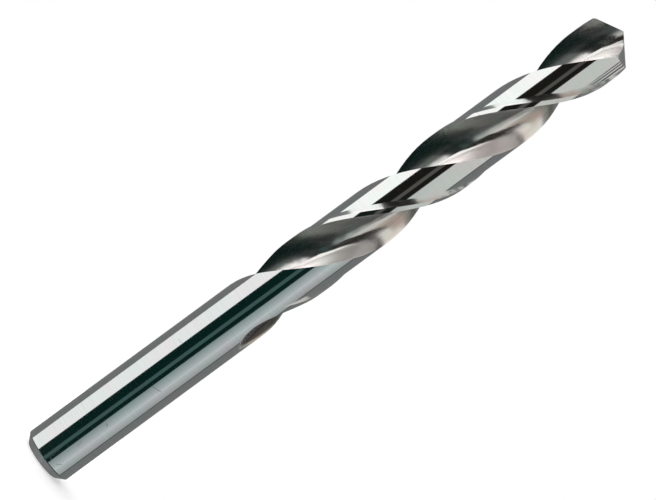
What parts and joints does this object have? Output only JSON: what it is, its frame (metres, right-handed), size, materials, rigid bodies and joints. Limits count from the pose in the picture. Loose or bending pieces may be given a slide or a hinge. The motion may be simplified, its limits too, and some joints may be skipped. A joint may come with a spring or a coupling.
{
  "type": "twist drill bit",
  "caption": "Right-hand twist drill with a parallel shank, two helical flutes with margins, and a cone-ground 118 degree point.",
  "frame": {"origin": "centre of the flat shank end", "axes": "+Z along the drill's axis, from the shank end to the point"},
  "size_m": [0.013, 0.013, 0.151],
  "materials": {
    "tool_steel": "bright ground and polished high-speed steel, with fine grinding lines and light handling wear"
  },
  "bodies": {
    "root": {"twist_drill_bit": "tool_steel"}
  },
  "joints": []
}
